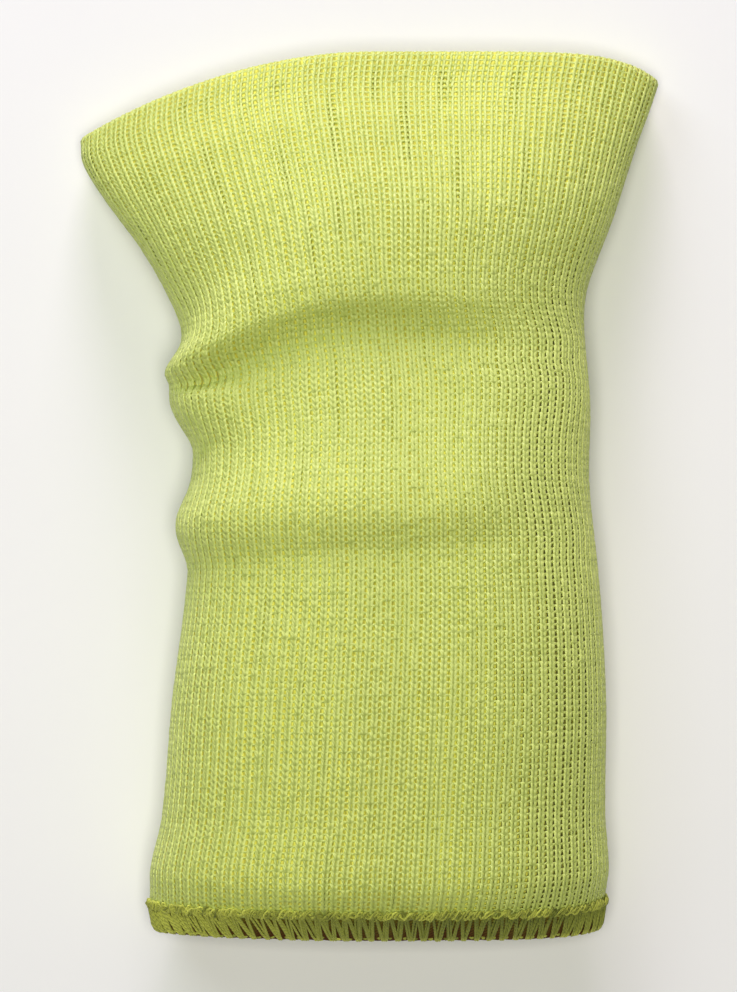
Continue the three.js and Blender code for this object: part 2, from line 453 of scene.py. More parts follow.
@dataclass
class MeshData:
    """Vertices in millimetres with quads and what each vertex or corner carries."""

    vertices: Floats
    quads: Whole
    values: dict[str, Floats]
    corner_uv: Floats | None = None

    def write(self, name: str) -> Piece:
        """Write the mesh to a new smooth-shaded object at the origin, in metres.

        Args:
            name: Name of the piece.

        Returns:
            The new object, linked to the scene.
        """
        mesh = bpy.data.meshes.new(name)
        mesh.vertices.add(len(self.vertices))
        mesh.vertices.foreach_set("co", (self.vertices * MM).astype(np.float32).ravel())
        mesh.loops.add(self.quads.size)
        mesh.loops.foreach_set("vertex_index", self.quads.astype(np.int32).ravel())
        mesh.polygons.add(len(self.quads))
        mesh.polygons.foreach_set("loop_start", np.arange(0, self.quads.size, 4, dtype=np.int32))
        mesh.polygons.foreach_set("use_smooth", np.ones(len(self.quads), dtype=bool))
        for key, value in self.values.items():
            layer = mesh.attributes.new(key, "FLOAT", "POINT")
            layer.data.foreach_set("value", value.astype(np.float32).ravel())
        if self.corner_uv is not None:
            layer = mesh.uv_layers.new(name=UV_NAME)
            layer.uv.foreach_set("vector", self.corner_uv.astype(np.float32).ravel())
        mesh.update(calc_edges=True)
        mesh.validate()
        piece = bpy.data.objects.new(name, mesh)
        bpy.context.scene.collection.objects.link(piece)
        return piece


def ring_quads(rings: int, points: int, sides: int) -> Whole:
    """Join closed rings of closed tube sections with quads facing out.

    Args:
        rings: Number of separate rings.
        points: Sections along each ring.
        sides: Corners of each section.

    Returns:
        Vertex numbers, four for each quad.
    """
    ring, point, side = np.meshgrid(np.arange(rings), np.arange(points), np.arange(sides), indexing="ij")
    ahead, over = (point + 1) % points, (side + 1) % sides

    def number(p: Whole, k: Whole) -> Whole:
        """Number the vertex of a ring's section p, corner k."""
        return (ring * points + p) * sides + k

    corners = [number(point, side), number(ahead, side), number(ahead, over), number(point, over)]
    return np.stack(corners, axis=-1).reshape(-1, 4)


def yarn_rings(
    path: Floats, outward: Floats, radius: Floats, section: Floats, values: dict[str, Floats]
) -> MeshData:
    """Carry a yarn's section along closed rings.

    Each section stands square to the path: corner = centre + radius (a aside + b outward), where outward is
    the cloth's normal squared to the path and aside is path x outward. At a sharp turn the section is made
    wider by 1 / cos(half the turn), so that the yarn keeps its width. The UV counts turns round the yarn and
    millimetres along it.

    Args:
        path: Centres, rings by points by three.
        outward: Cloth normals at the centres.
        radius: Yarn radius at the centres.
        section: Corners of the section as (aside, outward) shares of the radius, in turning order.
        values: Vertex values, one for each centre.

    Returns:
        The closed rings as one mesh.
    """
    ahead = unit(np.roll(path, -1, axis=1) - path)
    forward = unit(ahead + np.roll(ahead, 1, axis=1))
    mitre = 1.0 / np.clip(np.sum(forward * ahead, axis=-1), MITRE_LIMIT, 1.0)[..., None, None]
    up = unit(outward - forward * np.sum(outward * forward, axis=-1, keepdims=True))
    aside = np.cross(forward, up)
    sideways = section[:, :1] * aside[:, :, None] * mitre
    corners = path[:, :, None] + radius[..., None, None] * (sideways + section[:, 1:] * up[:, :, None])
    spread = {key: np.repeat(value[..., None], len(section), axis=-1) for key, value in values.items()}
    rings, points = path.shape[:2]
    sides = len(section)
    pace = np.linalg.norm(np.roll(path, -1, axis=1) - path, axis=-1)
    end = np.repeat(np.cumsum(pace, axis=1)[..., None], sides, axis=-1)
    begin = end - pace[..., None]
    side = np.broadcast_to(np.arange(sides), begin.shape)
    uv = np.stack([side, begin, side, end, side + 1, end, side + 1, begin], axis=-1).reshape(-1, 2)
    return MeshData(corners.reshape(-1, 3), ring_quads(rings, points, sides), spread, uv / [sides, 1.0])


def banded_wall(cloth: ClothMap, along: Floats, depth: Floats, turns: Floats, stitches: Floats) -> MeshData:
    """Carry a closed profile round the sleeve as one closed wall.

    Args:
        cloth: The cloth to lie on.
        along: Profile's places along the cloth, by column where it varies.
        depth: Profile's depths, by column where they vary.
        turns: Shares of the way round, one for each column.
        stitches: Stitch counts of a full turn and of a millimetre along, for the corner UV.

    Returns:
        The closed wall, with UV counted in stitches.
    """
    points, _ = cloth.place(turns[None, :], along, depth)
    rows, columns = points.shape[:2]
    row, column = np.meshgrid(np.arange(rows), np.arange(columns), indexing="ij")
    ahead, aside = (row + 1) % rows, (column + 1) % columns
    here, next_row = row * columns, ahead * columns
    quads = np.stack([here + column, here + aside, next_row + aside, next_row + column], axis=-1)
    left, right = turns[column], np.append(turns, 1.0)[column + 1]
    up = np.broadcast_to(along, (rows, columns))[:, 0]
    wale = np.stack([left, right, right, left], axis=-1) * stitches[0]
    course = np.stack([up[row], up[row], up[ahead], up[ahead]], axis=-1) * stitches[1]
    uv = np.stack([wale, course], axis=-1).reshape(-1, 2)
    return MeshData(points.reshape(-1, 3), quads.reshape(-1, 4), {}, uv)


# Finishes


# Properties of the nodes that work out sums and mix colours. A mix takes its colours in sockets 6 and 7 and
# gives the mixed colour as output 2.
TIMES, PLUS, MINUS, LARGER = ({"operation": name} for name in ("MULTIPLY", "ADD", "SUBTRACT", "MAXIMUM"))
COLOURS = {"data_type": "RGBA"}


def add_node(
    tree: bpy.types.NodeTree, kind: str, properties: dict[str, str], inputs: dict[str | int, object]
) -> bpy.types.Node:
    """Add one node with its settings and links.

    Args:
        tree: Node tree to add to.
        kind: Blender's name for the node type, after "ShaderNode".
        properties: The node's own settings.
        inputs: Values of input sockets, or output sockets that feed them, by name or number.

    Returns:
        The new node.
    """
    node = tree.nodes.new("ShaderNode" + kind)
    for key, value in properties.items():
        setattr(node, key, value)
    for key, value in inputs.items():
        if isinstance(value, bpy.types.NodeSocket):
            tree.links.new(value, node.inputs[key])
        else:
            node.inputs[key].default_value = value
    return node


def make_material(name: str, recipe: Recipe) -> bpy.types.Material:
    """Make a node material from a table of its nodes.

    Args:
        name: Name of the finish.
        recipe: For each node in order: its own name, its kind, the output that it gives, its properties, and
            its inputs, where text names the earlier node that feeds the socket. The shader is "surface".

    Returns:
        The finished material.
    """
    material = bpy.data.materials.new(name)
    material.use_nodes = True
    tree = material.node_tree
    tree.nodes.clear()
    made: dict[str, bpy.types.NodeSocket] = {}
    for own_name, kind, output, properties, inputs in recipe:
        fed = {key: made[value] if isinstance(value, str) else value for key, value in inputs.items()}
        made[own_name] = add_node(tree, kind, properties, fed).outputs[output]
    add_node(tree, "OutputMaterial", {}, {"Surface": made["surface"]})
    return material


@dataclass(frozen=True)
class YarnFinish:
    """Two-ply spun aramid yarn, dyed in the fibre: staple fibres that glint where they lie along the light.

    The eye sees a pale crest with slanting glints where the plies twist. Where the loop dips the colour is
    painted deeper and warmer, as painted shade and bounced light; the twist's grooves are painted darker, as
    painted shade; and small clouds of a darker tone fall at random.
    """

    name: str
    crest: str
    painted_recess_shade: str
    shade: str
    roughness: float
    specular: float
    sheen: float
    fibre_mm: float
    fibre_height_mm: float
    cloud_mm: float
    twist_mm: float
    painted_groove_shade: float
    plies: int = 2
    ior: float = 1.5
    noise_detail: float = 2.0
    sheen_roughness: float = 0.4
    sheen_tint: str = "#EFFFDA"

    def make(self) -> bpy.types.Material:
        """Make the yarn's material from its recess and tone values, its twist and two noises.

        Colour goes from crest to the dip colour with the loop's depth, which is painted shade and bounced
        light, then towards the shade colour by the product of each stitch's own tone, a slow cloud over the
        cloth and a fine noise that stands for the fibres, a darker tone at random. The twist is a sine of one
        wave for each ply round the yarn and one a twist length along it; its lows are the grooves, painted
        towards the shade colour as painted shade, and it stands out with the fibres as bump.

        Returns:
            The finished material.
        """
        crest, painted_recess_shade, shade = (linear_colour(code) for code in (self.crest, self.painted_recess_shade, self.shade))
        sizes = (self.fibre_mm, self.cloud_mm)
        fibre, cloud = ({"Scale": 1.0 / (size * MM), "Detail": self.noise_detail} for size in sizes)
        fibres = {
            "Roughness": self.roughness,
            "IOR": self.ior,
            "Specular IOR Level": self.specular,
            "Sheen Weight": self.sheen,
            "Sheen Roughness": self.sheen_roughness,
            "Sheen Tint": linear_colour(self.sheen_tint),
        }
        return make_material(self.name, (
            ("place", "TexCoord", "Object", {}, {}),
            ("painted_recess_shade", "Attribute", "Fac", {"attribute_name": "painted_recess_shade"}, {}),
            ("tone", "Attribute", "Fac", {"attribute_name": "tone"}, {}),
            ("tube", "UVMap", "UV", {"uv_map": UV_NAME}, {}),
            ("round", "SeparateXYZ", "X", {}, {0: "tube"}),
            ("along", "SeparateXYZ", "Y", {}, {0: "tube"}),
            ("fibre", "TexNoise", "Fac", {}, {"Vector": "place", **fibre}),
            ("cloud", "TexNoise", "Fac", {}, {"Vector": "place", **cloud}),
            # Painted shade and bounced light: the colour turns deeper and warmer where the loop dips.
            ("deep", "Mix", 2, COLOURS, {0: "painted_recess_shade", 6: crest, 7: painted_recess_shade}),
            ("mottle", "Math", 0, TIMES, {0: "tone", 1: "cloud"}),
            ("speck", "Math", 0, TIMES, {0: "mottle", 1: "fibre"}),
            ("clouded", "Mix", 2, COLOURS, {0: "speck", 6: "deep", 7: shade}),
            ("plies", "Math", 0, TIMES, {0: "round", 1: TAU * self.plies}),
            ("beat", "Math", 0, TIMES, {0: "along", 1: TAU / self.twist_mm}),
            ("phase", "Math", 0, MINUS, {0: "plies", 1: "beat"}),
            ("twist", "Math", 0, {"operation": "SINE"}, {0: "phase"}),
            # Painted shade: the twist's grooves turn towards the shade colour.
            ("low", "Math", 0, TIMES, {0: "twist", 1: -self.painted_groove_shade}),
            ("painted_groove_shade", "Math", 0, LARGER, {0: "low", 1: 0.0}),
            ("grooved", "Mix", 2, COLOURS, {0: "painted_groove_shade", 6: "clouded", 7: shade}),
            ("height", "Math", 0, PLUS, {0: "twist", 1: "fibre"}),
            ("bump", "Bump", "Normal", {}, {"Distance": self.fibre_height_mm * MM, "Height": "height"}),
            ("surface", "BsdfPrincipled", "BSDF", {}, {"Base Color": "grooved", "Normal": "bump", **fibres}),
        ))


@dataclass(frozen=True)
class PlyFinish:
    """Inner ply of the same jersey, its paired legs and the hollows between them counted off the stitch UV.

    The eye sees it deep yellow through the face's holes; its colours are brighter and yellower than the knit
    yarn's, as painted light for light scattered in the yarn, and it is a little darker in its own hollows, as
    painted shade.
    """

    name: str = "aramid_jersey_inner_ply"
    # Painted light and shade: the crest colour is brighter and yellower than the knit yarn's for light
    # scattered in the yarn; the darker colour is painted shade in the ply's hollows.
    crest: str = "#E4E260"
    painted_hollow_shade: str = "#CCC84A"
    roughness: float = 0.85
    specular: float = 0.2
    sheen: float = 0.1
    relief_mm: float = 0.4
    leg_place: float = 0.25
    leg_half_width: float = 0.22
    leg_slant: float = 0.08
    course_dip: float = 1.3

    def make(self) -> bpy.types.Material:
        """Make the ply's material.

        With a = distance from the wale's middle and v = place in the course from -1/2 to 1/2, a leg runs at a
        = place + slant v; relief = 1 - ((a - leg) / half width)^2 - dip v^2, not below 0. The colour goes
        from the darker colour of the hollows, painted shade, to the crest with the relief, which also stands
        out as bump.

        Returns:
            The finished material.
        """
        painted_hollow_shade, crest = linear_colour(self.painted_hollow_shade), linear_colour(self.crest)
        jersey = {
            "Roughness": self.roughness,
            "Specular IOR Level": self.specular,
            "Sheen Weight": self.sheen,
        }
        return make_material(self.name, (
            ("stitches", "UVMap", "UV", {"uv_map": UV_NAME}, {}),
            ("u", "SeparateXYZ", "X", {}, {0: "stitches"}),
            ("v", "SeparateXYZ", "Y", {}, {0: "stitches"}),
            ("wale", "Math", 0, {"operation": "FRACT"}, {0: "u"}),
            ("course", "Math", 0, {"operation": "FRACT"}, {0: "v"}),
            ("off middle", "Math", 0, MINUS, {0: "wale", 1: 0.5}),
            ("aside", "Math", 0, {"operation": "ABSOLUTE"}, {0: "off middle"}),
            ("rise", "Math", 0, MINUS, {0: "course", 1: 0.5}),
            ("slant", "Math", 0, TIMES, {0: "rise", 1: self.leg_slant}),
            ("leg", "Math", 0, PLUS, {0: "slant", 1: self.leg_place}),
            ("off leg", "Math", 0, MINUS, {0: "aside", 1: "leg"}),
            ("away", "Math", 0, {"operation": "DIVIDE"}, {0: "off leg", 1: self.leg_half_width}),
            ("away squared", "Math", 0, TIMES, {0: "away", 1: "away"}),
            ("rise squared", "Math", 0, TIMES, {0: "rise", 1: "rise"}),
            ("dip", "Math", 0, TIMES, {0: "rise squared", 1: self.course_dip}),
            ("fall", "Math", 0, PLUS, {0: "away squared", 1: "dip"}),
            ("bulge", "Math", 0, MINUS, {0: 1.0, 1: "fall"}),
            ("relief", "Math", 0, LARGER, {0: "bulge", 1: 0.0}),
            # Painted shade: the ply's hollows take the darker colour.
            ("colour", "Mix", 2, COLOURS, {0: "relief", 6: painted_hollow_shade, 7: crest}),
            ("bump", "Bump", "Normal", {}, {"Distance": self.relief_mm * MM, "Height": "relief"}),
            ("surface", "BsdfPrincipled", "BSDF", {}, {"Base Color": "colour", "Normal": "bump", **jersey}),
        ))


@dataclass(frozen=True)
class FloorFinish:
    """Matt white backdrop paper with a barely uneven coat."""

    name: str = "white_backdrop_paper"
    white: str = "#FAF9FD"
    shade: str = "#F6F5F9"
    grain_mm: float = 60.0
    roughness: float = 0.95
    specular: float = 0.1

    def make(self) -> bpy.types.Material:
        """Make the paper's material: two whites mixed by a slow noise.

        Returns:
            The finished material.
        """
        white, shade = linear_colour(self.white), linear_colour(self.shade)
        paper = {"Roughness": self.roughness, "Specular IOR Level": self.specular}
        return make_material(self.name, (
            ("place", "TexCoord", "Object", {}, {}),
            ("grain", "TexNoise", "Fac", {}, {"Vector": "place", "Scale": 1.0 / (self.grain_mm * MM)}),
            ("colour", "Mix", 2, COLOURS, {0: "grain", 6: white, 7: shade}),
            ("surface", "BsdfPrincipled", "BSDF", {}, {"Base Color": "colour", **paper}),
        ))


# Real fibres are too fine to show in the render, so each finish draws them about half a millimetre coarse.
# The knit yarn's second colour, deeper and warmer where loops dip, is painted shade and bounced light; its
# shade colour serves both a random darker tone and painted shade in the twist's grooves.
KNIT_YARN = YarnFinish(
    name="spun_aramid_yarn", crest="#D1DD78", painted_recess_shade="#CAD454", shade="#AABC50", roughness=0.5,
    specular=0.65, sheen=0.02, fibre_mm=0.4, fibre_height_mm=0.03, cloud_mm=9.0, twist_mm=1.1, painted_groove_shade=0.16,
)
# Loosely spun, bulked thread: dull, bright yellow-green on top; the olive where it lies out of sight is
# painted shade.
OVERLOCK_THREAD = YarnFinish(
    name="bulked_overlock_thread", crest="#EEF270", painted_recess_shade="#6E7632", shade="#8A9238", roughness=0.7,
    specular=0.25, sheen=0.04, fibre_mm=0.4, fibre_height_mm=0.06, cloud_mm=4.0, twist_mm=1.0, painted_groove_shade=0.35,
)
# Knit cut through and pressed flat under the threads: dull olive at the seam; the red-brown towards the cut
# and between the ribs is painted shade in the raw edge's gaps.
CUT_EDGE = YarnFinish(
    name="pressed_cut_knit_edge", crest="#7C7826", painted_recess_shade="#5E3614", shade="#523612", roughness=0.9,
    specular=0.2, sheen=0.0, fibre_mm=0.5, fibre_height_mm=0.1, cloud_mm=7.0, twist_mm=1.0, painted_groove_shade=0.4,
)


# The knit


@dataclass(frozen=True)
class LoopRow:
    """One place on a jersey loop, in shares of a wale and a course, with its lift, girth and recess.

    Across is for slack cloth and pulled for stretched cloth. Lift goes from 1 at the cloth's face down
    through it; girth is a share of the yarn's radius. The last value is painted shade and bounced light where
    the loop dips.
    """

    at: str
    across: float
    pulled: float
    up: float
    lift: float
    girth: float
    painted_recess_shade: float


# The last column is painted shade and bounced light: most at the sinker and head, where the loop dips.
LOOP = (
    LoopRow("sinker", -0.50, -0.50, -0.52, 0.60, 0.80, 0.25),
    LoopRow("left foot", -0.12, -0.16, -0.44, 1.00, 1.00, 0.00),
    LoopRow("left shoulder", -0.215, -0.26, 0.44, 0.95, 1.00, 0.05),
    LoopRow("head", 0.00, 0.00, 0.54, 0.70, 0.80, 0.25),
    LoopRow("right shoulder", 0.215, 0.26, 0.44, 0.95, 1.00, 0.05),
    LoopRow("right foot", 0.12, 0.16, -0.44, 1.00, 1.00, 0.00),
)
# The yarn's section: corners aside and outward, in shares of its radius.
BARREL_TOP = 0.62
BARREL = np.array([[1.0, -0.45], [0.76, BARREL_TOP], [-0.76, BARREL_TOP], [-1.0, -0.45]])
# Each wave's count round the sleeve, length along it in millimetres, and start.
DRIFT_WAVES = ((7, 83.0, 0.3), (17, 61.0, 2.1), (31, 140.0, 4.4), (43, 97.0, 1.2))
STREAK_WAVES = ((19, 91.0, 0.0), (37, -57.0, 1.0), (53, 39.0, 2.0), (67, -71.0, 4.0))


@dataclass
class JerseyKnit:
    """The knitted face: one closed ring of yarn for each course, and the inner ply behind it."""

    cloth: ClothMap
    wales: int = KNIT_WALES
    course_mm: float = 1.25
    yarn_mm: float = 0.80
    swing_mm: float = 0.22
    first_course_mm: float = 6.6
    inside_mm: float = 5.0
    bands: int = 6
    relaxed_wale_mm: float = 1.84
    pulled_stretch: Pair = (1.0, 1.14)
    thinning: float = 1.15
    drift: float = 0.02
    course_drift_turn: float = 0.37
    uneven: float = 0.035
    uneven_across: float = 0.5
    uneven_thickness: float = 0.07
    slack_bell: Pair = (0.205, 0.085)
    slack_fade_mm: Pair = (110.0, 160.0)
    slack_thinning: float = 0.15
    streak_slack: float = 0.2
    streak_swell: Pair = (1.0, 3.0)
    ply_depth_mm: float = 0.18
    ply_slack_mm: float = 1.4
    ply_stretched_mm: float = 0.09
    ply_flare_mm: Pair = (115.0, 145.0)
    ply_lip_ease_mm: float = 6.0
    ply_below_face_mm: float = 0.5
    ply_past_face_mm: float = 1.0
    ply_lip_rows: int = 5
    ply_columns: int = 168
    ply_step_mm: float = 1.4
    ply_inner_step_mm: float = 5.6
    ply_wales: int = 109
    ply_course_mm: float = 1.31

    def courses(self) -> Floats:
        """Give the middle of each course along the cloth, from the seam over the lip to the inside."""
        last = self.cloth.outside + self.cloth.lip_length + self.inside_mm
        return np.arange(self.first_course_mm, last, self.course_mm)

    def slack(self, turn: Floats, along: Floats) -> Floats:
        """Say how far the face hangs off the inner ply, 0 to 1: most down the right side, else in streaks.

        The right side is a bell in the turn that fades into the flare; the streaks are a sum of sine waves
        that beat fast round the sleeve and slowly along it, eased in where the sum is high.

        Args:
            turn: Share of the way round.
            along: Millimetres along the cloth.

        Returns:
            The slack at each place.
        """
        right = bell(turn, *self.slack_bell) * (1.0 - smooth_step(along, *self.slack_fade_mm))
        swell = wave_sum(turn, along, STREAK_WAVES)
        return np.maximum(right, self.streak_slack * smooth_step(swell, *self.streak_swell))

    def face(self, courses: Floats, seed: int) -> MeshData:
        """Knit a band of courses as closed yarn rings.

        Every loop follows the loop table, moved by a few hundredths of a stitch so that no two are alike.
        The yarn's section is a four-cornered barrel, narrow side outward; where the cloth is stretched the
        yarn thins as a power of the stretch, and it thins a little where the face hangs slack.

        Args:
            courses: Middles of the courses along the cloth.
            seed: Seed of the small unevenness.

        Returns:
            The band's rings as one mesh.
        """
        rng = np.random.default_rng(seed)
        slack_across, pulled_across, up, lift, girth, painted_recess_shade = np.array([astuple(row)[1:] for row in LOOP]).T
        count = (len(courses), self.wales, len(LOOP))
        one_each = (*count[:2], 1)
        loose = rng.normal(0.0, self.uneven, (3, *one_each))
        middle, turn = courses[:, None, None], (np.arange(self.wales)[None, :, None] + 0.5) / self.wales
        stretch = np.interp(middle, self.cloth.along, self.cloth.girth) / (self.wales * self.relaxed_wale_mm)
        across = slack_across + (pulled_across - slack_across) * smooth_step(stretch, *self.pulled_stretch)
        drift = self.drift * wave_sum(turn, middle, DRIFT_WAVES)
        wale = turn * self.wales + across + loose[0] * self.uneven_across + drift
        thickness = self.yarn_mm * stretch**-self.thinning
        thickness = thickness * (1.0 + rng.normal(0.0, self.uneven_thickness, one_each))
        thickness = thickness * (1.0 - self.slack_thinning * self.slack(turn, middle))
        radius = thickness / 2.0 * girth
        drift = self.drift * wave_sum(turn + self.course_drift_turn, middle, DRIFT_WAVES)
        along = middle + (up + loose[1] + drift) * self.course_mm
        depth = BARREL_TOP * self.yarn_mm / 2.0 + self.swing_mm * (1.0 - lift - loose[2])
        flat = (len(courses), -1)
        path, outward = self.cloth.place(*(a.reshape(flat) for a in (wale / self.wales, along, depth)))
        tone = rng.uniform(0.0, 1.0, one_each)
        # Painted shade and bounced light where loops dip; each stitch's tone is random.
        values = {"painted_recess_shade": np.broadcast_to(painted_recess_shade, count), "tone": np.broadcast_to(tone, count)}
        values = {key: value.reshape(flat) for key, value in values.items()}
        return yarn_rings(path, outward, radius.reshape(flat), BARREL, values)

    def ply(self) -> MeshData:
        """Build the inner ply: a closed wall up behind the face, over the lip and down to the seam inside.

        It lies under the face as far as the face reaches, deeper where the face hangs slack or the flare
        stretches it; lower down inside, it is the sleeve's inner face.

        Returns:
            The closed wall.
        """
        lip, wall, near = self.cloth.outside, self.cloth.form.wall, self.ply_depth_mm
        start = self.first_course_mm - self.ply_below_face_mm
        turn_in = lip - self.inside_mm - self.ply_past_face_mm
        outer = np.linspace(start, lip, int((lip - start) / self.ply_step_mm))
        over = lip + self.cloth.lip_length * (np.arange(1, self.ply_lip_rows + 1) / self.ply_lip_rows)
        behind = lip - np.arange(self.ply_step_mm, self.inside_mm, self.ply_step_mm)
        inner = np.linspace(turn_in, start, int((lip - start) / self.ply_inner_step_mm))
        along = np.concatenate([outer, over, behind, inner])[:, None]
        counts = [len(outer), len(over), len(behind), len(inner)]
        depth = np.repeat([near, near, wall - near, wall], counts)[:, None]
        turns = np.arange(self.ply_columns) / self.ply_columns
        faced = np.repeat([1.0, 0.0, 0.0, 0.0], counts)[:, None]
        faced = faced * smooth_step(lip - along, 0.0, self.ply_lip_ease_mm)
        depth = depth + self.ply_slack_mm * faced * self.slack(turns[None, :], along)
        depth = depth + self.ply_stretched_mm * faced * smooth_step(along, *self.ply_flare_mm)
        stitches = np.array([self.ply_wales, 1.0 / self.ply_course_mm])
        return banded_wall(self.cloth, along, depth, turns, stitches)

    def build(self) -> list[Piece]:
        """Build and dress the bands of courses and the inner ply.

        Returns:
            The pieces, the inner ply last.
        """
        yarn = KNIT_YARN.make()
        pieces = []
        for number, courses in enumerate(np.array_split(self.courses(), self.bands), start=1):
            data = self.face(courses, SEED + number)
            pieces.append(dress(data.write(f"knit_courses_{number}"), yarn, SLEEVE_NODE))
        ply = self.ply().write("knit_inner_ply")
        return [*pieces, dress(ply, PlyFinish().make(), SLEEVE_NODE)]


# The sewn hem


@dataclass(frozen=True)
class LooperLay:
    """How the swinging threads lie: depth in millimetres, lean in stitches, the rest in turns and shares."""

    lean: float = 0.65
    upright_turn: float = 0.3
    hook_swing: Pair = (0.78, 1.0)
    hook_depth: float = 0.7
    # Painted light and shade: how much of the thread keeps its crest colour at the left edge, where the light
    # falls, and in a bell on the right, and how much its legs and tops are painted in shade.
    left_painted_light: float = 0.6
    left_power: float = 1.5
    right_painted_light: float = 0.1
    right_bell: Pair = (0.23, 0.05)
    legs_painted_shade: float = 0.75
    legs_swing: Pair = (-0.94, -0.5)
    tops_painted_shade: float = 0.2
    tops_swing: Pair = (-0.2, 0.6)


@dataclass(frozen=True)
class ChainLay:
    """How the seam's strands lie: lengths in millimetres, the bell in turns, and their painted shade in
    shares.
    """

    strands: int = 4
    reach: float = 0.95
    below_seam: float = 0.2
    lift: float = 0.36
    swing: float = 0.24
    # Painted shade: how dark the strands are, and how much darker at the right edge.
    sunk: float = 0.25
    right_sunk: float = 0.35
    right_bell: Pair = (0.2, 0.1)


@dataclass(frozen=True)
class PurlLay:
    """How the thread along the cut lies: lengths in millimetres, girth and its painted shade in shares."""

    girth: float = 1.1
    proud: float = 0.15
    above_tips: float = 1.2
    # Painted shade of the thread, in shares.
    sunk: float = 0.6


@dataclass(frozen=True)
class EdgeBar:
    """The pressed cut edge's bar in millimetres: its reach along the cloth, its ribs and its rounding."""

    columns: int = 336
    points: int = 20
    low: float = -2.05
    high: float = 7.2
    rib: float = 0.10
    columns_a_rib: float = 4.0
    rounding: float = 0.4
    # Painted shade: the span along the cloth where it eases in, and how much darker it is between the ribs.
    painted_shade_span: Pair = (-4.8, -1.2)
    rib_shade: float = 2.0
    tone: float = 0.5


